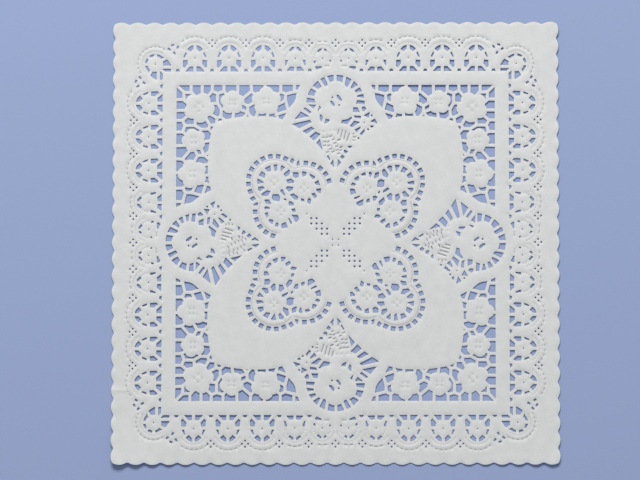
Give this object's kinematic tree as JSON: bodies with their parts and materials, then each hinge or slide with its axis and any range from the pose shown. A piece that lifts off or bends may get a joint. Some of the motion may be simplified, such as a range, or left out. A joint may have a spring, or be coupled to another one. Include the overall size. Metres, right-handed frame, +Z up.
{
  "type": "paper doily",
  "caption": "Square white paper doily: one sheet, embossed and die-cut in a lace pattern of arches, flower nets, roses and trefoils, with a scalloped edge; lies flat under cakes or on a table.",
  "frame": {"origin": "middle of the sheet on its underside, the face it lies on", "axes": "+Z up out of the paper on its embossed face, +X and +Y along two sides of the square"},
  "size_m": [0.254, 0.254, 0.0002],
  "materials": {
    "paper": "matte"
  },
  "bodies": {
    "root": {"doily": "paper"}
  },
  "joints": []
}
